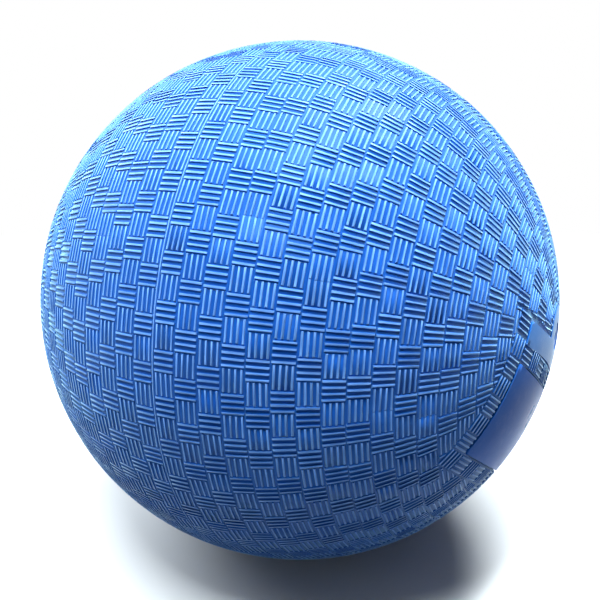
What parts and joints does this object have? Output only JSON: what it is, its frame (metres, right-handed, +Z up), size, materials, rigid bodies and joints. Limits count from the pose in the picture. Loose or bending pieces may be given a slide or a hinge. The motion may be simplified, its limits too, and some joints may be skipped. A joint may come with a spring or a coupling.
{
  "type": "rubber dodgeball",
  "caption": "Round inflatable rubber ball with a basket-weave grip, a parting line, a smooth print panel and a needle valve set flush in a round land.",
  "frame": {"origin": "centre of the ball", "axes": "+X runs along the mould axis and out of the needle valve, and the parting line lies in the plane x = 0. +Z is up as the ball lies in the picture, with its print panel low on the +X side, turned 31.4 degrees about X."},
  "size_m": [0.2159, 0.216, 0.216],
  "materials": {
    "cover_rubber": "moulded blue rubber, semi-gloss, with a basket-weave grip",
    "winding_nylon": "nylon thread wound and bedded in rubber",
    "bladder_butyl": "matt black butyl rubber",
    "valve_rubber": "satin moulded blue rubber",
    "plug_rubber": "soft satin blue rubber"
  },
  "bodies": {
    "root": {"cover": "cover_rubber", "winding": "winding_nylon", "bladder": "bladder_butyl", "valve_boot": "valve_rubber", "valve_plug": "plug_rubber"}
  },
  "joints": []
}
